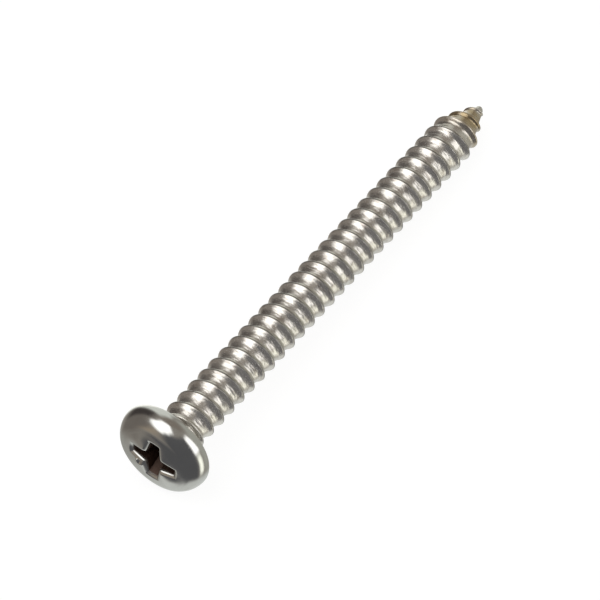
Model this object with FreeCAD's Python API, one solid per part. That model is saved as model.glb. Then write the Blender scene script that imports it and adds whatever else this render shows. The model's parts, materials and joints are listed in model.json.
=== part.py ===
import FreeCAD, Part

import math
import os

# One-piece pan head sheet metal screw with a cross recess and a sharp, threaded point, lying on a flat surface.
# Millimetres and degrees. The screw is first built along its own axis: the head's underside is at x = 0,
# the point is towards +X, and angles around the axis run from +Y towards +Z.

# Thread
thread_diameter = 4.8
thread_depth = 0.5          # from the crest to the deepest line, at the foot of the steep flank
pitch = 1.59
crest_width = 0.16
long_flank = 0.5            # length along the axis of the flank towards the head
steep_flank = 0.27          # the same for the flank towards the point
root_rise = 0.17            # the root rises by this from the steep flank to the next turn's long one
even_root_start = 46.0      # from here to the point it no longer rises
rise_fade = 3.0             # length over which the rise fades out before that
thread_turn = 0.58          # where a crest crosses the +Y side, as a share of a pitch from the head's underside
runout_start = 0.4          # where the thread starts to rise, from the head's underside
runout = 1.4                # length over which it rises to its full height
lowest_rise = 0.05          # share of the full height that it has before that

# Shank and point
length = 50.0               # from the head's underside to the end of the point
point_angle = 42.0          # whole angle of the core's cone
crest_point_angle = 51.0    # whole angle of the cone that the crests follow to the point
core_end_radius = 0.25      # of the core's cone at the end of the point, before it is rounded
crest_end_radius = 0.42
point_blend = 0.35          # how softly the straight shank turns into the point
bare_tip = 0.6              # length without thread at the end of the point

# Head
head_diameter = 9.5
head_height = 3.1
rim_radius = 0.83           # rounding between the head's side and its underside
side_share = 1.026          # radius of the head's round side, as a share of its height above the widest circle
shoulder_share = 0.44       # the same for the tighter rounding between the side and the shallow crown
shoulder_start = 45.0       # where the side turns into the shoulder, from outwards towards the crown
neck_height = 0.4           # length of the rounding between the shank and the head's underside
neck_clearance = 0.08       # the flat underside starts this far outside the thread's crests

# Cross recess
recess_span = 4.9           # across two opposite wings, where they leave the crown
recess_taper = 26.5         # slope of the wings' outer ends
recess_end_span = 2.29      # across two opposite wings at their foot
recess_floor_angle = 140.0
wing_width = 1.29           # between the planes of a wing's sides where they pass the axis, at its foot
wing_draft = 5.75           # slope of the wings' sides along the axis
wing_lean = 10.3            # angle by which each side leans in, so that a wing narrows outwards
recess_turn = 1.5           # angle of the first wing from +Y
wing_spacing = 90.0         # angle between neighbouring wings

# Punched dot between two wings
dot_radius = 0.35
dot_depth = 0.2
dot_distance = 1.75         # from the axis
dot_turn = -39.5            # angle from the first wing

# Building allowances
seat_overlap = 0.03         # the point's core stands this little above the thread's own root, so that they join
sink = 0.1                  # how deep the neck's rounding runs into the shank
neck_bow = 0.2              # how hollow the neck's rounding is
tool_reach = 2.0            # how far the recess cutter stands out of the head
points_per_turn = 12
turns_in_head = 1           # whole turns of thread that run on inside the head, where they can't be seen
floor_side = -0.25          # the side that the screw lies on, in turns from +Y towards +Z
steepest_tilt = 1.0         # radians; the resting tilt is searched for below this
tilt_step = 1e-9            # radians

AXIS = FreeCAD.Vector(1, 0, 0)
ORIGIN = FreeCAD.Vector(0, 0, 0)

# Places on a circle of the profile, in degrees from outwards towards the crown
OUTWARDS = 0.0
CROWN_WARDS = 90.0
POINT_WARDS = -90.0

thread_radius = thread_diameter / 2
shank_radius = thread_radius - thread_depth
head_radius = head_diameter / 2

# The shoulder's arc meets the side's and the crown's without a corner, which gives its middle and the crown's radius
dome_height = head_height - rim_radius
side_radius = side_share * dome_height
shoulder_radius = shoulder_share * dome_height
shoulder_lean = math.radians(shoulder_start)
shoulder_out = head_radius - side_radius + (side_radius - shoulder_radius) * math.cos(shoulder_lean)
shoulder_back = rim_radius + (side_radius - shoulder_radius) * math.sin(shoulder_lean)
crown_rise = head_height - shoulder_back
crown_radius = (crown_rise**2 - shoulder_radius**2 + shoulder_out**2) / (2 * (crown_rise - shoulder_radius))


def slope(whole_angle):
    """Radius gained for each millimetre along a cone of this whole angle."""
    return math.tan(math.radians(whole_angle / 2))


def soft_min(a, b, blend):
    """The smaller of two values, with a smooth change from one to the other."""
    near = max(blend - abs(a - b), 0) / blend
    return min(a, b) - blend * near * near / 4


def root_radius(x):
    cone = core_end_radius + (length - x) * slope(point_angle)
    return soft_min(shank_radius, cone, point_blend)


def crest_radius(x):
    cone = crest_end_radius + (length - x) * slope(crest_point_angle)
    full = soft_min(thread_radius, cone, point_blend)
    share = min(max((x - runout_start) / runout, 0), 1)
    rise = lowest_rise + (1 - lowest_rise) * share * share * (3 - 2 * share)
    return root_radius(x) + (full - root_radius(x)) * rise


def long_foot_radius(x):
    """Radius of the root where it meets the long flank."""
    share = min(max((even_root_start - x) / rise_fade, 0), 1)
    full_share = (crest_radius(x) - root_radius(x)) / thread_depth
    return root_radius(x) + root_rise * full_share * share


def around(x, radius, turn):
    """A point at a place along the axis, at a radius and at an angle given in turns."""
    angle = 2 * math.pi * turn
    return FreeCAD.Vector(x, radius * math.cos(angle), radius * math.sin(angle))


def ridge_section(x):
    """Foot, crest, crest and foot of the thread's section where its middle is at x, as pairs of x and radius."""
    half_crest = crest_width / 2
    share = (crest_radius(x) - root_radius(x)) / thread_depth
    long_foot = x - half_crest - long_flank * share
    steep_foot = x + half_crest + steep_flank * share
    return (
        (long_foot, long_foot_radius(long_foot)),
        (x - half_crest, crest_radius(x)),
        (x + half_crest, crest_radius(x)),
        (steep_foot, root_radius(steep_foot)),
    )


def threaded_shank():
    """Shank and thread as one solid: helical faces, closed inside the head and inside the point by flat steps."""
    last = length - bare_tip
    turns = math.ceil(last / pitch) + turns_in_head
    first = last - turns * pitch

    def angle_at(x):
        return x / pitch - thread_turn

    places = [first + pitch * i / points_per_turn for i in range(turns * points_per_turn + 1)]
    lines = []
    for side in range(4):
        points = []
        for x in places:
            along, radius = ridge_section(x)[side]
            points.append(around(along, radius, angle_at(x)))
        curve = Part.BSplineCurve()
        curve.interpolate(Points=points, Parameters=[i / points_per_turn for i in range(len(places))])
        lines.append([curve.toShape(float(n), float(n + 1)) for n in range(turns)])
    foot_in, crest_in, crest_out, foot_out = lines

    faces = []
    for n in range(turns):
        faces.append(Part.makeRuledSurface(foot_in[n], crest_in[n]))
        faces.append(Part.makeRuledSurface(crest_in[n], crest_out[n]))
        faces.append(Part.makeRuledSurface(crest_out[n], foot_out[n]))
        if n + 1 < turns:
            faces.append(Part.makeRuledSurface(foot_out[n], foot_in[n + 1]))

    for edge, section_x, inner_first in ((foot_in[0], first, True), (foot_out[-1], last, False)):
        start = edge.valueAt(edge.FirstParameter)
        end = edge.valueAt(edge.LastParameter)
        axis_line = Part.LineSegment(FreeCAD.Vector(start.x, 0, 0), FreeCAD.Vector(end.x, 0, 0)).toShape()
        faces.append(Part.makeRuledSurface(edge, axis_line))
        section = [around(x, radius, angle_at(section_x)) for x, radius in ridge_section(section_x)]
        beside = [end] if inner_first else [start]
        outline = section + beside if inner_first else beside + section
        corners = [FreeCAD.Vector(outline[0].x, 0, 0)] + outline + [FreeCAD.Vector(outline[-1].x, 0, 0)]
        faces.append(Part.Face(Part.makePolygon(corners + corners[:1])))

    shell = Part.makeShell(faces)
    shell.sewShape()
    return Part.makeSolid(shell)


def revolved(outline):
    """Solid of revolution about the screw's axis from edges that start and end on it."""
    wire = Part.Wire(outline)
    first = wire.OrderedVertexes[0].Point
    last = wire.OrderedVertexes[-1].Point
    closed = Part.Wire(outline + [Part.LineSegment(last, first).toShape()])
    return Part.Face(closed).revolve(ORIGIN, AXIS, 360)


def flat(x, radius):
    return FreeCAD.Vector(x, radius, 0)


def line(a, b):
    return Part.LineSegment(a, b).toShape()


def arc(a, middle, b):
    return Part.Arc(a, middle, b).toShape()


def on_circle(centre, radius, angle):
    """A point of a circle in the profile's plane, its angle measured from outwards towards the crown."""
    lean = math.radians(angle)
    return flat(centre.x - radius * math.sin(lean), centre.y + radius * math.cos(lean))


def point_core():
    """The point's bare cone with a rounded nose, which closes the thread at its end."""
    lean = math.radians(point_angle / 2)
    end_radius = core_end_radius + seat_overlap
    nose_radius = end_radius * math.cos(lean) / (1 - math.sin(lean))
    nose_centre = flat(length - nose_radius, 0)
    nose_start = on_circle(nose_centre, nose_radius, -point_angle / 2)
    nose_middle = on_circle(nose_centre, nose_radius, (POINT_WARDS - point_angle / 2) / 2)
    wide = shank_radius - point_blend
    start = flat(length - (wide - end_radius) / slope(point_angle), wide)
    return revolved([
        line(flat(start.x, 0), start),
        line(start, nose_start),
        arc(nose_start, nose_middle, flat(length, 0)),
    ])


def crown_drop(radius):
    """How far the crown lies below its middle, at a distance from the axis."""
    return crown_radius - math.sqrt(crown_radius**2 - radius**2)


def head():
    """Pan head: flat underside, rounded rim, side, shoulder and shallow crown, with a rounded neck under it."""
    side_centre = flat(-rim_radius, head_radius - side_radius)
    shoulder_centre = flat(-shoulder_back, shoulder_out)
    crown_centre = flat(crown_radius - head_height, 0)
    rim_centre = flat(-rim_radius, head_radius - rim_radius)
    joint = CROWN_WARDS - math.degrees(math.asin(shoulder_out / (crown_radius - shoulder_radius)))
    top = flat(-head_height, 0)
    crown_edge = on_circle(shoulder_centre, shoulder_radius, joint)
    side_end = on_circle(side_centre, side_radius, shoulder_start)
    widest = on_circle(side_centre, side_radius, OUTWARDS)
    seat_edge = on_circle(rim_centre, rim_radius, POINT_WARDS)
    neck_outer = flat(0, thread_radius + neck_clearance)
    neck_inner = flat(neck_height + sink, shank_radius - sink)
    neck_sag = neck_bow / 2 * (neck_outer.y - neck_inner.y)
    neck_middle = (neck_outer + neck_inner) / 2 - flat(neck_sag, neck_sag)
    return revolved([
        arc(top, on_circle(crown_centre, crown_radius, (joint + CROWN_WARDS) / 2), crown_edge),
        arc(crown_edge, on_circle(shoulder_centre, shoulder_radius, (joint + shoulder_start) / 2), side_end),
        arc(side_end, on_circle(side_centre, side_radius, shoulder_start / 2), widest),
        arc(widest, on_circle(rim_centre, rim_radius, POINT_WARDS / 2), seat_edge),
        line(seat_edge, neck_outer),
        arc(neck_outer, neck_middle, neck_inner),
        line(neck_inner, flat(neck_inner.x, 0)),
    ])


def recess_cutter():
    """Cross recess: drafted wings that narrow outwards, inside a tapered envelope with a conical floor."""
    foot_depth = crown_drop(recess_span / 2) + (recess_span - recess_end_span) / 2 / slope(2 * recess_taper)
    foot = foot_depth - head_height
    foot_radius = recess_end_span / 2
    floor = foot + foot_radius / slope(recess_floor_angle)
    mouth = -head_height - tool_reach
    mouth_radius = foot_radius + (foot - mouth) * slope(2 * recess_taper)
    envelope = revolved([
        line(flat(mouth, 0), flat(mouth, mouth_radius)),
        line(flat(mouth, mouth_radius), flat(foot, foot_radius)),
        line(flat(foot, foot_radius), flat(floor, 0)),
    ])

    draft = slope(2 * wing_draft)
    low = wing_width / 2 - draft * (floor - foot)
    high = wing_width / 2 + draft * (foot - mouth)
    reach = mouth_radius * 2
    outline = Part.makePolygon([
        FreeCAD.Vector(floor, -low, -reach), FreeCAD.Vector(floor, low, -reach),
        FreeCAD.Vector(mouth, high, -reach), FreeCAD.Vector(mouth, -high, -reach),
        FreeCAD.Vector(floor, -low, -reach),
    ])
    slab = Part.Face(outline).extrude(FreeCAD.Vector(0, 0, 2 * reach))

    def turned(shape, angle):
        copy = shape.copy()
        copy.rotate(ORIGIN, AXIS, angle)
        return copy

    wing = turned(slab, wing_lean).common(turned(slab, -wing_lean))
    cross = wing.fuse(turned(wing, wing_spacing)).removeSplitter()
    return turned(cross.common(envelope), recess_turn)


def dot_cutter():
    """Small punched dot in the crown, between two wings."""
    ball_radius = (dot_radius**2 + dot_depth**2) / (2 * dot_depth)
    centre = flat(-head_height + crown_drop(dot_distance) - (ball_radius - dot_depth), dot_distance)
    ball = Part.makeSphere(ball_radius, centre)
    ball.rotate(ORIGIN, AXIS, recess_turn + dot_turn)
    return ball


def resting_tilt():
    """Angle by which the point lies lower than the head, when the rim and a crest near the point touch the floor."""
    crests = []
    for n in range(1, int(length / pitch)):
        middle = (n + floor_side + thread_turn) * pitch
        crests.append((middle + crest_width / 2, crest_radius(middle)))

    def rim_reach(tilt):
        rim_centre = head_radius - rim_radius
        return rim_centre * math.cos(tilt) - rim_radius * math.sin(tilt) + rim_radius

    def crest_reach(tilt):
        return max(x * math.sin(tilt) + radius * math.cos(tilt) for x, radius in crests)

    low = 0.0
    high = steepest_tilt
    while high - low > tilt_step:
        tilt = (low + high) / 2
        if crest_reach(tilt) < rim_reach(tilt):
            low = tilt
        else:
            high = tilt
    return math.degrees(low)


def laid_down(screw):
    """The screw on its side, on z = 0, with its box centred over the origin."""
    screw.rotate(ORIGIN, FreeCAD.Vector(0, 1, 0), resting_tilt())
    box = screw.optimalBoundingBox(False, False)
    screw.translate(FreeCAD.Vector(-box.Center.x, -box.Center.y, -box.ZMin))
    return screw


def build():
    blank = head().fuse([threaded_shank(), point_core()])
    return laid_down(blank.cut([recess_cutter(), dot_cutter()]))


os.makedirs("parts", exist_ok=True)
screw = build()
underside = screw.Placement.Base
print("tilt in degrees", round(resting_tilt(), 4))
print("centre of the underside", [round(value, 4) for value in underside])
print("solids", len(screw.Solids), "volume", round(screw.Volume, 3), "valid", screw.isValid())
screw.Solids[0].exportStep("parts/screw.step")
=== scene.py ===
import json
import math

import bmesh
import bpy
from mathutils import Matrix, Vector


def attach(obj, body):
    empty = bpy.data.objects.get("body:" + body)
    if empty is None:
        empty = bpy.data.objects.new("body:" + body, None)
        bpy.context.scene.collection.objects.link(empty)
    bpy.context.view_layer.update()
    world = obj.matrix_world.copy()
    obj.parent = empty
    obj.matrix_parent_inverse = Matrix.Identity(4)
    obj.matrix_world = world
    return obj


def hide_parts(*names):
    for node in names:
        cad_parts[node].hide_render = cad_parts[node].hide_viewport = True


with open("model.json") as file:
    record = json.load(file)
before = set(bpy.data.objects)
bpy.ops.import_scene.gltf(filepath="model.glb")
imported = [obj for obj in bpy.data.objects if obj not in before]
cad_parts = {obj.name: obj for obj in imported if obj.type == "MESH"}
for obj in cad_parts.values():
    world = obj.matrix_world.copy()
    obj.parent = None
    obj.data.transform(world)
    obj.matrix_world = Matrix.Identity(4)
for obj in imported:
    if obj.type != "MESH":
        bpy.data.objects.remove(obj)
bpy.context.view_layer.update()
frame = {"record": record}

# One stainless steel pan head screw, headed and thread-rolled from wire, lying on its side.
# It is shaped along its own axis in millimetres and degrees: the head's underside is at x = 0, the point is
# towards +X, and angles around the axis run from +Y towards +Z. The sizes are those of the part's source,
# apart from the long flank and the root's rise, which make up for the corners that only the scene rounds.
MM = 0.001

# Thread
thread_radius = 2.4
shank_radius = 1.9
pitch = 1.59
crest_width = 0.16
long_flank = 0.42           # length along the axis of the flank towards the head
steep_flank = 0.27          # the same for the flank towards the point
root_rise = 0.22            # rise of the root, from the steep flank's foot to the next long flank's foot
even_root_start = 46.0      # from here to the point it no longer rises
rise_fade = 3.0             # length over which the rise fades out before that
thread_rounding = 0.22      # length along the axis over which the rolled thread's corners are rounded
long_foot_rounding = 0.45   # the same at the long flank's foot, where flank and root run into each other
long_foot_reach = 0.45      # how far from that foot its larger rounding fades out
thread_turn = 0.58          # where a crest crosses the +Y side, as a share of a pitch from the underside
runout_start = 0.4          # where the thread starts to rise
runout = 1.4                # length over which it rises
lowest_rise = 0.05          # share of the thread's height at the head
fade = 0.35                 # length over which the last turn sinks into the point

# Shank and point
length = 50.0
point_angle = 42.0
crest_point_angle = 51.0
core_end_radius = 0.28
crest_end_radius = 0.42
point_blend = 0.35
bare_tip = 0.6

# Head
head_radius = 4.75
head_height = 3.1
rim_radius = 0.83
side_share = 1.026          # radius of the round side, as a share of the height above the widest circle
shoulder_share = 0.44       # the same for the tighter rounding between the side and the shallow crown
shoulder_start = 45.0       # where the side turns into the shoulder, from outwards towards the crown
joint_softness = 0.35       # length over which shoulder and crown are blended at their joint
joint_reach = 0.62          # how far from the joint that fades out
neck_radius = 2.48          # where the neck's rounding meets the flat underside
neck_height = 0.5

# Cross recess
recess_span = 4.9
recess_taper = 26.5
recess_end_span = 2.29
recess_floor_angle = 140.0
wing_width = 1.29
wing_draft = 5.75
wing_lean = 10.3            # angle by which each side leans in, so that a wing narrows outwards
recess_turn = 1.5
wings = 4
mouth_rounding = 0.35       # rounding of the recess's edges, where the punch drew the metal in
tip_softness = 4.0          # rounding of the four tips between the wings, as an angle around the axis
heave = 0.04                # how far the crown is raised between the wings and lowered at their ends
heave_reach = 0.9           # length over which that fades out, outwards to where the crown is plain

# Punched dot between two wings
dot_radius = 0.35
dot_depth = 0.24
dot_distance = 1.75
dot_turn = -39.5
dot_lip = 0.13              # height of the metal pushed up around the dot
dot_lip_width = 0.15

# How finely the shapes are divided
steps_per_turn = 64
root_steps = 6
long_flank_steps = 9
crest_steps = 4
steep_flank_steps = 6
rounding_samples = 15
underside_radii = (2.75, 3.3, 3.75)
rim_rings = 8
side_rings = 10
shoulder_rings = 7
crown_rings = 3
plain_crown = 3.4           # outside this radius the crown's rings are round
blend_rings = 30
mouth_rings = 8
mouth_tries = 4             # steps that find the depth at which the crown meets the recess's outline
wall_rings = 8
floor_rings = 5
end_spokes = 5
side_spokes = 15
tip_crowding = 1.4          # how much closer together the spokes stand towards the tips
merge_distance = 0.0005
sharp_angle = math.radians(40)

thread_depth = thread_radius - shank_radius
wing_spacing = 360.0 / wings


def slope(whole_angle):
    """Radius gained for each millimetre along a cone of this whole angle."""
    return math.tan(math.radians(whole_angle / 2))


def soft_min(a, b, blend):
    """The smaller of two values, with a smooth change from one to the other."""
    near = max(blend - abs(a - b), 0) / blend
    return min(a, b) - blend * near * near / 4


def clamp(value):
    return min(max(value, 0.0), 1.0)


def smooth_step(value):
    share = clamp(value)
    return share * share * (3 - 2 * share)


def core_radius(x):
    """Shank and point without the thread, down to the rounded nose."""
    lean = math.radians(point_angle / 2)
    nose_radius = core_end_radius * math.cos(lean) / (1 - math.sin(lean))
    beyond = x - (length - nose_radius)
    if beyond > nose_radius * math.sin(lean):
        return math.sqrt(max(nose_radius**2 - beyond**2, 0.0))
    cone = core_end_radius + (length - x) * slope(point_angle)
    return soft_min(shank_radius, cone, point_blend)


def neck_swell(x):
    """How far the neck's rounding stands out of the shank."""
    share = clamp(x / neck_height)
    return (neck_radius - shank_radius) * (1 - math.sqrt(1 - (1 - share) ** 2))


def ridge_height(x):
    """Height of the thread over the core."""
    cone = crest_end_radius + (length - x) * slope(crest_point_angle)
    full = soft_min(thread_radius, cone, point_blend)
    rise = lowest_rise + (1 - lowest_rise) * smooth_step((x - runout_start) / runout)
    sink = smooth_step((length - bare_tip + fade / 2 - x) / fade)
    return max(full - core_radius(x), 0.0) * rise * sink


# The thread's section, as offsets from the middle of the crest: the steep flank's foot a turn before it, the
# long flank's foot, both edges of the crest, and the steep flank's foot
crest_edge = crest_width / 2
corners = (crest_edge + steep_flank - pitch, -crest_edge - long_flank, -crest_edge, crest_edge,
           crest_edge + steep_flank)


def sharp_section(offset, root_lift):
    """Height of the section before its corners are rounded, as a share of the thread's height."""
    offset = corners[0] + (offset - corners[0]) % pitch
    heights = (0.0, root_lift, 1.0, 1.0, 0.0)
    for low, high, start, end in zip(corners, corners[1:], heights, heights[1:]):
        if offset <= high:
            return start + (end - start) * (offset - low) / (high - low)
    return 0.0


def rounded_section(offset, root_lift):
    """The same as the mean over a short length, which rounds the corners."""
    near_foot = clamp(1 - abs(offset - corners[1]) / long_foot_reach)
    width = thread_rounding + (long_foot_rounding - thread_rounding) * near_foot
    total = 0.0
    for n in range(rounding_samples):
        shift = ((n + 0.5) / rounding_samples - 0.5) * width
        total += sharp_section(offset + shift, root_lift)
    return total / rounding_samples


def even_offsets():
    """Offsets across one pitch at which the section gets a vertex."""
    offsets = []
    counts = (root_steps, long_flank_steps, crest_steps, steep_flank_steps)
    for low, high, count in zip(corners, corners[1:], counts):
        offsets += [low + (high - low) * n / count for n in range(count)]
    return offsets + [corners[-1]]


def place_on_thread(vert):
    """Moves a vertex of the even, endless thread to where the real one has it."""
    turn = math.atan2(vert.co.z, vert.co.y) / math.tau
    nearest = math.ceil((vert.co.x - corners[-1] - merge_distance) / pitch - turn - thread_turn)
    middle = (nearest + turn + thread_turn) * pitch
    offset = vert.co.x - middle
    height = ridge_height(vert.co.x)
    share = clamp(height / thread_depth)
    long_foot = -crest_edge - long_flank * share
    steep_foot = crest_edge + steep_flank * share
    if offset < corners[1]:
        start = steep_foot - pitch
        shifted = start + (long_foot - start) * (offset - corners[0]) / (corners[1] - corners[0])
    elif offset < -crest_edge:
        shifted = -crest_edge + (offset + crest_edge) * share
    elif offset < crest_edge:
        shifted = offset
    else:
        shifted = crest_edge + (offset - crest_edge) * share
    x = min(middle + shifted, length)
    root_lift = root_rise / thread_depth * clamp((even_root_start - x) / rise_fade)
    radius = core_radius(x) + neck_swell(x) + rounded_section(offset, root_lift) * height
    if x >= length:
        radius = 0.0
    vert.co = (x, radius * math.cos(turn * math.tau), radius * math.sin(turn * math.tau))


def of_kind(geometry, kind):
    return [element for element in geometry if isinstance(element, kind)]


def add_thread(bm):
    """Neck, shank, thread and point, open at the head's underside. One turn is spun and then repeated."""
    first = (thread_turn - 2) * pitch
    verts = [bm.verts.new((first + offset, shank_radius, 0)) for offset in even_offsets()]
    edges = [bm.edges.new(pair) for pair in zip(verts, verts[1:])]
    bmesh.ops.spin(bm, geom=verts + edges, cent=(0, 0, 0), axis=(1, 0, 0),
                   dvec=(pitch / steps_per_turn, 0, 0), angle=math.tau, steps=steps_per_turn)
    one_turn = bm.verts[:] + bm.edges[:] + bm.faces[:]
    turns = math.ceil((length - first) / pitch) + 1
    for n in range(1, turns):
        copy = bmesh.ops.duplicate(bm, geom=one_turn)["geom"]
        bmesh.ops.translate(bm, vec=(n * pitch, 0, 0), verts=of_kind(copy, bmesh.types.BMVert))
    bmesh.ops.remove_doubles(bm, verts=bm.verts, dist=merge_distance)
    for vert in bm.verts:
        place_on_thread(vert)
    bmesh.ops.remove_doubles(bm, verts=bm.verts, dist=merge_distance)
    bmesh.ops.bisect_plane(bm, geom=bm.verts[:] + bm.edges[:] + bm.faces[:], plane_co=(0, 0, 0),
                           plane_no=(-1, 0, 0), clear_outer=True)


# The head's outside is three arcs that meet without a corner: its side, a tighter shoulder and the crown
dome_height = head_height - rim_radius
side_radius = side_share * dome_height
shoulder_radius = shoulder_share * dome_height
shoulder_lean = math.radians(shoulder_start)
shoulder_out = head_radius - side_radius + (side_radius - shoulder_radius) * math.cos(shoulder_lean)
shoulder_back = rim_radius + (side_radius - shoulder_radius) * math.sin(shoulder_lean)
crown_rise = head_height - shoulder_back
crown_radius = (crown_rise**2 - shoulder_radius**2 + shoulder_out**2) / (2 * (crown_rise - shoulder_radius))
joint_radius = crown_radius * shoulder_out / (crown_radius - shoulder_radius)


def crown_drop(radius):
    """How far the crown lies below its middle, at a distance from the axis."""
    return crown_radius - math.sqrt(crown_radius**2 - radius**2)


def sharp_depth(radius):
    """Depth of the shoulder's and the crown's surface under the crown's middle, with the bare joint."""
    if radius < joint_radius:
        return crown_drop(radius)
    return crown_rise - math.sqrt(shoulder_radius**2 - (radius - shoulder_out) ** 2)


def soft_depth(radius):
    """The same with the joint blended, so that reflections run on over it."""
    width = joint_softness * clamp(1 - abs(radius - joint_radius) / joint_reach)
    shifts = [((n + 0.5) / rounding_samples * 2 - 1) * width for n in range(rounding_samples)]
    return sum(sharp_depth(radius + shift) for shift in shifts) / rounding_samples


def crown_depth(radius, angle):
    """The same with what the punch raised and lowered around the recess."""
    near = smooth_step((plain_crown - radius) / heave_reach)
    waves = math.cos((angle - math.radians(recess_turn)) * math.tau / math.radians(wing_spacing))
    return soft_depth(radius) + heave * near * waves


# Depth at which the recess's walls end and its floor starts
foot_depth = crown_drop(recess_span / 2) + (recess_span - recess_end_span) / 2 / slope(2 * recess_taper)

# The head's mesh runs along spokes. Each quarter of the recess's outline is half a wing's end, a side down
# to the tip between two wings, the next side and half an end: a spoke is its wing, its side of it, its part
# and its share of that part.
END, SIDE = range(2)


def make_spokes():
    half = [(END, (n + 0.5) / end_spokes) for n in range(end_spokes)]
    half += [(SIDE, 1 - (1 - n / side_spokes) ** tip_crowding) for n in range(side_spokes)]
    spokes = []
    for wing in range(wings):
        spokes += [(wing, -1, part, share) for part, share in reversed(half)]
        spokes += [(wing, 1, part, share) for part, share in half]
        spokes.append((wing, 1, SIDE, 1.0))
    return spokes


def recess_outline(spoke, depth, grow):
    """Radius and angle of the recess's outline at a depth under the crown's middle, grown by a distance."""
    wing, side, part, share = spoke
    up = foot_depth - depth
    lean = math.radians(wing_lean)
    half_width = wing_width / 2 + slope(2 * wing_draft) * up + grow
    end_radius = recess_end_span / 2 + slope(2 * recess_taper) * up + grow
    if part == END:
        radius = end_radius
        angle = share * (math.asin(half_width / end_radius) - lean)
    else:
        tip_angle = math.radians(wing_spacing / 2)
        outer = math.sqrt(end_radius**2 - half_width**2)
        inner = half_width / math.tan(tip_angle + lean)
        angle = math.atan2(half_width, outer + (inner - outer) * share) - lean
        from_tip = tip_angle - angle
        softened = math.hypot(from_tip, math.radians(tip_softness) * share)
        radius = half_width / math.sin(tip_angle + lean - softened)
    return radius, math.radians(recess_turn + wing_spacing * wing) + side * angle


def mouth_outline(spoke, grow):
    """Depth, radius and angle at which the crown's surface meets the recess's outline."""
    depth = 0.0
    for _ in range(mouth_tries):
        radius, angle = recess_outline(spoke, depth, grow)
        depth = crown_depth(radius, angle)
    return depth, radius, angle


def dot_dent(radius, angle):
    """How far the crown's surface is pushed in around the punched dot."""
    dot_angle = math.radians(recess_turn + dot_turn)
    away = math.sqrt(radius**2 + dot_distance**2 - 2 * radius * dot_distance * math.cos(angle - dot_angle))
    share = away / dot_radius
    if share < 1:
        return dot_depth * (1 - share**2) - dot_lip
    return -dot_lip * math.exp(-((away - dot_radius) / dot_lip_width) ** 2)


def floor_depth(radius):
    return foot_depth + (recess_end_span / 2 - radius) / slope(recess_floor_angle)


def outside_rings():
    """Places from the underside over the rim, the side and the shoulder to the round part of the crown."""
    rings = [(0.0, radius) for radius in underside_radii]
    rim_middle = head_radius - rim_radius
    for n in range(rim_rings + 1):
        turn = math.pi / 2 * (1 - n / rim_rings)
        rings.append((rim_radius * (math.sin(turn) - 1), rim_middle + rim_radius * math.cos(turn)))
    for n in range(1, side_rings + 1):
        turn = shoulder_lean * n / side_rings
        rings.append((-rim_radius - side_radius * math.sin(turn),
                      head_radius - side_radius + side_radius * math.cos(turn)))
    joint = math.acos(shoulder_out / (crown_radius - shoulder_radius))
    for n in range(1, shoulder_rings + 1):
        turn = shoulder_lean + (joint - shoulder_lean) * n / shoulder_rings
        radius = shoulder_out + shoulder_radius * math.cos(turn)
        rings.append((soft_depth(radius) - head_height, radius))
    edge_radius = rings[-1][1]
    for n in range(1, crown_rings + 1):
        radius = edge_radius + (plain_crown - edge_radius) * n / crown_rings
        rings.append((soft_depth(radius) - head_height, radius))
    return rings


def head_rings(spoke):
    """All the places of one spoke, from the underside round the rim and over the crown into the recess."""
    _, mouth_radius, angle = mouth_outline(spoke, mouth_rounding)
    places = [(x, radius, angle) for x, radius in outside_rings()]
    for n in range(1, blend_rings + 1):
        radius = plain_crown + (mouth_radius - plain_crown) * n / blend_rings
        places.append((crown_depth(radius, angle) - head_height + dot_dent(radius, angle), radius, angle))
    for n in range(1, mouth_rings + 1):
        turn = math.pi / 2 * n / mouth_rings
        grow = mouth_rounding * (1 - math.sin(turn))
        depth = mouth_outline(spoke, grow)[0] + mouth_rounding * (1 - math.cos(turn))
        radius, turned = recess_outline(spoke, depth, grow)
        places.append((depth - head_height, radius, turned))
    top = depth
    bottom = floor_depth(recess_outline(spoke, foot_depth, 0.0)[0])
    for n in range(1, wall_rings + 1):
        depth = top + (bottom - top) * n / wall_rings
        radius, turned = recess_outline(spoke, depth, 0.0)
        places.append((depth - head_height, radius, turned))
    for n in range(1, floor_rings + 1):
        inner = radius * (1 - n / floor_rings)
        places.append((floor_depth(inner) - head_height, inner, turned))
    return places


def around(place):
    """Coordinates of a place that is given as a distance along the axis, a radius and an angle."""
    x, radius, angle = place
    return Vector((x, radius * math.cos(angle), radius * math.sin(angle)))


def add_head(bm):
    """Head with its recess, drawn ring by ring from the underside to the middle of the recess's floor."""
    lines = [head_rings(spoke) for spoke in make_spokes()]
    spoke_of = bm.verts.layers.int.new("spoke")
    start = bmesh.ops.create_circle(bm, segments=len(lines), radius=1.0)["verts"]
    for n, vert in enumerate(start):
        vert[spoke_of] = n
        vert.co = around(lines[n][0])
    edges = list(dict.fromkeys(edge for vert in start for edge in vert.link_edges))
    underside = list(edges)
    for ring in range(1, len(lines[0])):
        grown = bmesh.ops.extrude_edge_only(bm, edges=edges)["geom"]
        for vert in of_kind(grown, bmesh.types.BMVert):
            vert.co = around(lines[vert[spoke_of]][ring])
        edges = of_kind(grown, bmesh.types.BMEdge)
    return underside


def resting_place():
    """Turns and moves the screw's own axis to where the record's underside mount has it."""
    mount = next(m for m in frame["record"]["mounts"] if m["name"] == "underside")
    axis = mount["axis"]
    tilt = math.atan2(-axis[2], axis[0])
    return Matrix.Translation(mount["pos_m"]) @ Matrix.Rotation(tilt, 4, "Y") @ Matrix.Scale(MM, 4)


def new_object(name, bm):
    """Puts a finished mesh into the scene."""
    mesh = bpy.data.meshes.new(name)
    bm.to_mesh(mesh)
    bm.free()
    made = bpy.data.objects.new(name, mesh)
    bpy.context.scene.collection.objects.link(made)
    return made


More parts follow.
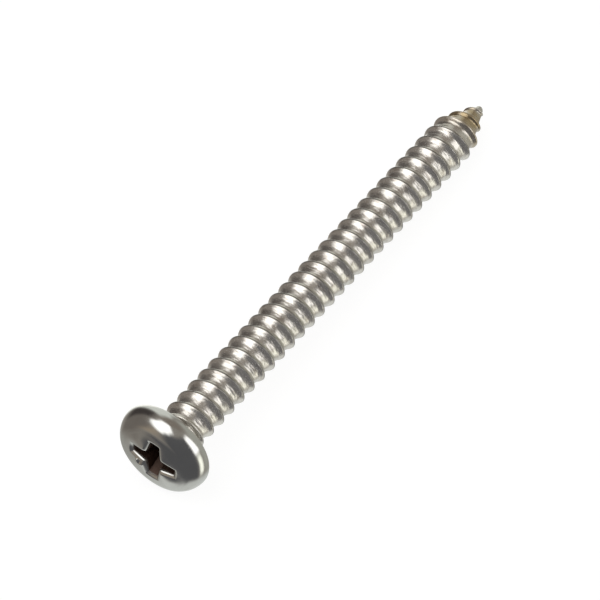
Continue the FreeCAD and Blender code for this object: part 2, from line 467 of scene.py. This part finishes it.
def make_screw():
    bm = bmesh.new()
    add_thread(bm)
    neck = [edge for edge in bm.edges
            if edge.is_boundary and max(abs(vert.co.x) for vert in edge.verts) < merge_distance]
    underside = add_head(bm)
    bmesh.ops.bridge_loops(bm, edges=neck + underside)
    bmesh.ops.remove_doubles(bm, verts=bm.verts, dist=merge_distance)
    bmesh.ops.recalc_face_normals(bm, faces=bm.faces)
    for face in bm.faces:
        face.smooth = True
    for edge in bm.edges:
        edge.smooth = edge.calc_face_angle(0.0) < sharp_angle
    bmesh.ops.transform(bm, matrix=resting_place(), verts=bm.verts)
    return new_object("screw_body", bm)


def linear(hex_colour):
    """Linear colour of an sRGB hex value."""
    values = []
    for start in (1, 3, 5):
        value = int(hex_colour[start:start + 2], 16) / 255
        values.append(value / 12.92 if value <= 0.04045 else ((value + 0.055) / 1.055) ** 2.4)
    return (*values, 1.0)


def add_node(tree, kind, inputs=None, **settings):
    """Adds a node, sets it, and gives its inputs their values or links."""
    node = tree.nodes.new(kind)
    for name, value in settings.items():
        setattr(node, name, value)
    for name, value in (inputs or {}).items():
        if isinstance(value, bpy.types.NodeSocket):
            tree.links.new(value, node.inputs[name])
        else:
            node.inputs[name].default_value = value
    return node


def new_material(name):
    material = bpy.data.materials.new(name)
    material.use_nodes = True
    material.node_tree.nodes.clear()
    return material, material.node_tree


def maths(tree, operation, *values):
    return add_node(tree, "ShaderNodeMath", dict(enumerate(values)), operation=operation).outputs[0]


def times(tree, first, second):
    return maths(tree, "MULTIPLY", first, second)


def between(tree, value, low, high):
    """0 where the value is at or under low, 1 at or over high, smooth in between. Low may be the larger."""
    return add_node(tree, "ShaderNodeMapRange", {"Value": value, "From Min": low, "From Max": high},
                    interpolation_type="SMOOTHSTEP").outputs["Result"]


# Places of the colour sockets of a mix, which has others with the same names
mix_share, mix_first, mix_second, mix_result = 0, 6, 7, 2


def blended(tree, share, first, second):
    inputs = {mix_share: share, mix_first: first, mix_second: second}
    return add_node(tree, "ShaderNodeMix", inputs, data_type="RGBA").outputs[mix_result]


# Colours of the steel. The head and the shank have two each, in clouds.
head_steel = ("#c6c5c1", "#cfcfcb")
shank_steel = ("#dfdad2", "#e7e3dc")
rolled_steel = "#c6beb5"
# Painted shade: the thread's root is darkened to a greenish grey down in its valleys
root_painted_shade = "#8f8b82"
# Dull line along the crest, painted darker as shade
crest_painted_shade = "#615e58"
heat_tint = "#a48c5c"
# Painted shade: the recess's inside is darkened to a dull dark brown
recess_painted_shade = "#4a372d"

# How much the painted shade in the root and along the crest and the heat tint cover the steel's colour, and
# what share of the recess, as part of its painted shade, and of the shank is dull non-metal
root_cover = 0.3
crest_cover = 0.8
heat_cover = 0.75
recess_shade_share = 0.4
shank_film_share = 0.1

# Where each starts and where it is full: the root, the crest and the recess's edge by the distance from
# the axis, the others by the place along it
shank_zone = (0.2, 1.0)
root_zone = (2.2, 1.85)
crest_zone = (2.355, 2.39)
heat_start = (44.5, 47.0)
heat_end = (49.7, 48.2)
recess_zone = (-head_height + 0.28, -head_height + 0.52)
recess_edge = (3.2, 3.0)
head_zone = (0.2, -0.2)

# Patterns: their noise's cells for each millimetre, and the values between which they show
cloud_scale = 0.9
marks_scale = 1.0
grain_scale = 9.0
noise_detail = 3.0
rolling_stretch = (2.6, 0.9, 0.9)   # the rolling marks are finer along the screw than around it
marks_shown = (0.52, 0.74)
heat_shown = (0.25, 0.55)
grain_shown = (0.3, 0.7)

# Roughness of the head, what the shank, the crest and the recess add to it, and the relief in millimetres
head_roughness = (0.1, 0.18)
shank_dullness = 0.1
crest_dullness = 0.15
recess_dullness = 0.3
grain_strength = 0.12
grain_height = 0.005
marks_strength = 1.0
marks_height = 0.05


def noise(tree, coordinates, scale):
    inputs = {"Vector": coordinates, "Scale": scale, "Detail": noise_detail}
    return add_node(tree, "ShaderNodeTexNoise", inputs).outputs["Fac"]


def screw_coordinates(tree):
    """Coordinates along the screw's own axis in millimetres, the place along it and the distance from it."""
    place = resting_place()
    millimetres = add_node(tree, "ShaderNodeMapping", {
        "Vector": add_node(tree, "ShaderNodeTexCoord").outputs["Object"], "Location": place.to_translation(),
        "Rotation": place.to_euler(), "Scale": place.to_scale()}, vector_type="TEXTURE").outputs["Vector"]
    parts = add_node(tree, "ShaderNodeSeparateXYZ", {"Vector": millimetres}).outputs
    across = add_node(tree, "ShaderNodeCombineXYZ", {"Y": parts["Y"], "Z": parts["Z"]}).outputs[0]
    radius = add_node(tree, "ShaderNodeVectorMath", {0: across}, operation="LENGTH").outputs["Value"]
    return millimetres, parts["X"], radius


def steel_zones(tree, along, radius, cloud):
    """Shares of the shank, the thread's root, its crest, the heated point and the recess's inside."""
    shank = between(tree, along, *shank_zone)
    root = times(tree, shank, between(tree, radius, *root_zone))
    crest = times(tree, times(tree, shank, between(tree, radius, *crest_zone)), crest_cover)
    heated = times(tree, between(tree, along, *heat_start), between(tree, along, *heat_end))
    heated = times(tree, heated, between(tree, cloud, *heat_shown))
    inside = times(tree, between(tree, along, *recess_zone), between(tree, radius, *recess_edge))
    inside = times(tree, inside, between(tree, along, *head_zone))
    return shank, root, crest, heated, inside


def steel_colour(tree, zones, cloud, marks):
    """The head's and the shank's steel, and over it the rolling marks, the painted shade in the root and
    along the crest, the heat tint and the recess's painted shade in turn.
    """
    shank, root, crest, heated, inside = zones
    on_head = blended(tree, cloud, *[linear(shade) for shade in head_steel])
    on_shank = blended(tree, cloud, *[linear(shade) for shade in shank_steel])
    colour = blended(tree, shank, on_head, on_shank)
    rolled = times(tree, shank, between(tree, marks, *marks_shown))
    # The root's, the crest's and the recess's layers paint shade into the steel's colour
    layers = ((rolled, rolled_steel), (times(tree, root, root_cover), root_painted_shade), (crest, crest_painted_shade),
              (times(tree, heated, heat_cover), heat_tint), (inside, recess_painted_shade))
    for share, shade in layers:
        colour = blended(tree, share, colour, linear(shade))
    return colour


def steel_roughness(tree, zones, grain):
    shank, _, crest, _, inside = zones
    rough = add_node(tree, "ShaderNodeMapRange", {
        "Value": grain, "From Min": grain_shown[0], "From Max": grain_shown[1],
        "To Min": head_roughness[0], "To Max": head_roughness[1]}).outputs["Result"]
    for zone, amount in ((shank, shank_dullness), (crest, crest_dullness), (inside, recess_dullness)):
        rough = maths(tree, "ADD", rough, times(tree, zone, amount))
    return rough


def steel_relief(tree, grain, marks_on_shank):
    """Fine grain everywhere, and the rolling marks on the shank."""
    fine = add_node(tree, "ShaderNodeBump", {
        "Height": grain, "Strength": grain_strength, "Distance": grain_height * MM})
    coarse = add_node(tree, "ShaderNodeBump", {
        "Height": marks_on_shank, "Strength": marks_strength, "Distance": marks_height * MM,
        "Normal": fine.outputs["Normal"]})
    return coarse.outputs["Normal"]


def tumbled_stainless():
    """Rolled and tumbled stainless steel: a slightly warm satin mirror. Rolling marks run around the shank
    and break up its reflections, the recess and the thread's root are darkened with painted shade, the
    crest is a dull line painted darker as shade, and heat left the point straw-brown."""
    material, tree = new_material("tumbled_stainless")
    millimetres, along, radius = screw_coordinates(tree)
    stretched = add_node(tree, "ShaderNodeMapping", {"Vector": millimetres, "Scale": rolling_stretch},
                         vector_type="POINT").outputs["Vector"]
    cloud = noise(tree, millimetres, cloud_scale)
    marks = noise(tree, stretched, marks_scale)
    grain = noise(tree, millimetres, grain_scale)
    zones = steel_zones(tree, along, radius, cloud)
    shank, inside = zones[0], zones[-1]
    # The steel's dull non-metal share: in the recess it deepens the painted shade, on the shank it is a dull
    # film
    film_and_shade = maths(tree, "ADD", times(tree, inside, recess_shade_share), times(tree, shank, shank_film_share))
    steel = add_node(tree, "ShaderNodeBsdfPrincipled", {
        "Base Color": steel_colour(tree, zones, cloud, marks),
        "Metallic": maths(tree, "SUBTRACT", 1.0, film_and_shade),
        "Roughness": steel_roughness(tree, zones, grain),
        "Normal": steel_relief(tree, grain, times(tree, marks, shank))})
    add_node(tree, "ShaderNodeOutputMaterial", {"Surface": steel.outputs["BSDF"]})
    return material


# What the photographer's light tent shows the metal. Each card covers a range of azimuths, counted from +X
# towards +Y, and of elevations, with soft edges, and later cards lie over earlier ones: name, middle and
# half width of its azimuths, lowest and highest elevation, softness across and up, and its colour as the
# steel shows it.
steel_reflectance = 0.52
tent_colour = "#736f6a"
tent_cards = [
    ("ground", 0, 181, -91, -55, 1, 10, "#a5a7a5"),
    ("near_ground", 92, 36, -66, -47, 8, 8, "#82827e"),
    ("shaded_top", 10, 72, 56, 95, 18, 14, "#6a635d"),
    ("grey_side", 328, 34, -45, 45, 12, 15, "#8b8b85"),
    ("pale_strip", 39, 24, -45, 54, 8, 12, "#b4b6b2"),
    ("bright_foot", 45, 12, -48, -14, 8, 10, "#dcdcd8"),
    ("dark_gap", 78, 15, -25, 46, 8, 14, "#353130"),
    ("dim_side", 116, 27, -40, 34, 10, 12, "#5d5854"),
    ("warm_fringe", 150, 10, -10, 42, 18, 16, "#83786b"),
    ("dark_wall", 220, 48, -57, 56, 12, 8, "#464648"),
    ("dark_wall_foot", 177, 25, -56, -22, 5, 5, "#464648"),
    ("window", 138, 34, 42, 90, 8, 6, "#ffffff"),
    ("window_slope", 149, 43, 53, 90, 9, 8, "#ffffff"),
    ("window_top", 149, 62, 63, 90, 14, 8, "#ffffff"),
    ("lamp", 281, 13, 5, 50, 5, 6, "#ffffff"),
    ("lamp_below", 279, 8, -46, 0, 5, 10, "#eff0e6"),
]


def card_mask(tree, direction, middle, half_width, low, high, soft_across, soft_up):
    """1 inside a card's range of directions and 0 outside, with soft edges."""
    turned = add_node(tree, "ShaderNodeVectorRotate", {"Vector": direction, "Angle": -math.radians(middle)},
                      rotation_type="Z_AXIS").outputs["Vector"]
    parts = add_node(tree, "ShaderNodeSeparateXYZ", {"Vector": turned}).outputs
    away = maths(tree, "ABSOLUTE", maths(tree, "ARCTAN2", parts["Y"], parts["X"]))
    elevation = maths(tree, "ARCSINE", parts["Z"])
    mask = 1.0
    for value, outside, inside in ((away, half_width + soft_across, half_width - soft_across),
                                   (elevation, low - soft_up, low + soft_up),
                                   (elevation, high + soft_up, high - soft_up)):
        mask = times(tree, mask, between(tree, value, math.radians(outside), math.radians(inside)))
    return mask


def light_tent():
    """World: white to the camera, and the tent's cards to everything else."""
    world = bpy.data.worlds.new("light_tent")
    world.use_nodes = True
    tree = world.node_tree
    tree.nodes.clear()
    direction = add_node(tree, "ShaderNodeTexCoord").outputs["Generated"]
    colour = linear(tent_colour)
    for _, *card, shade in tent_cards:
        colour = blended(tree, card_mask(tree, direction, *card), colour, linear(shade))
    tent = add_node(tree, "ShaderNodeBackground", {"Color": colour, "Strength": 1 / steel_reflectance})
    white = add_node(tree, "ShaderNodeBackground", {"Color": linear("#ffffff"), "Strength": 1.0})
    camera_ray = add_node(tree, "ShaderNodeLightPath").outputs["Is Camera Ray"]
    shown = add_node(tree, "ShaderNodeMixShader", {0: camera_ray, 1: tent.outputs[0], 2: white.outputs[0]})
    add_node(tree, "ShaderNodeOutputWorld", {"Surface": shown.outputs[0]})
    bpy.context.scene.world = world


# Floor: white paper that gives off most of its own white, so that it keeps only a faint shadow
floor_half_width = 2.0
paper_colour = "#f4f4f4"
glow_strength = 1.14
glow_share = 0.8


def pale_floor():
    """White paper, lit nearly to white. The steel mirrors the tent instead of it."""
    material, tree = new_material("white_paper")
    paper = add_node(tree, "ShaderNodeBsdfDiffuse", {"Color": linear(paper_colour)})
    glow = add_node(tree, "ShaderNodeEmission", {"Color": linear("#ffffff"), "Strength": glow_strength})
    mixed = add_node(tree, "ShaderNodeMixShader", {0: glow_share, 1: paper.outputs[0], 2: glow.outputs[0]})
    add_node(tree, "ShaderNodeOutputMaterial", {"Surface": mixed.outputs[0]})
    bm = bmesh.new()
    bmesh.ops.create_grid(bm, x_segments=1, y_segments=1, size=floor_half_width)
    floor = new_object("floor", bm)
    floor.data.materials.append(material)
    floor.visible_glossy = False


# Camera: it looks at the head from above, along the screw
camera_azimuth = -53.98
camera_elevation = 54.92
camera_distance = 499.15
camera_right = 11.835       # how far right of the underside's middle, and above it, the camera points
camera_up = 12.954
camera_reach = 10.0         # in metres, how far it sees
focal_length = 325.0
sensor_width = 36.0


def add_camera():
    azimuth = math.radians(camera_azimuth)
    elevation = math.radians(camera_elevation)
    turn = Matrix.Rotation(azimuth, 4, "Z") @ Matrix.Rotation(math.pi / 2 - elevation, 4, "X")
    data = bpy.data.cameras.new("camera")
    data.lens = focal_length
    data.sensor_width = sensor_width
    data.clip_end = camera_reach
    camera = bpy.data.objects.new("camera", data)
    start = resting_place().to_translation()
    offset = Vector((camera_right, camera_up, camera_distance)) * MM
    camera.matrix_world = Matrix.Translation(start + turn.to_3x3() @ offset) @ turn
    bpy.context.scene.collection.objects.link(camera)
    bpy.context.scene.camera = camera


bpy.context.scene.view_settings.view_transform = "Standard"
add_camera()
light_tent()
pale_floor()
screw = make_screw()
screw.data.materials.append(tumbled_stainless())
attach(screw, "root")
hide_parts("screw")
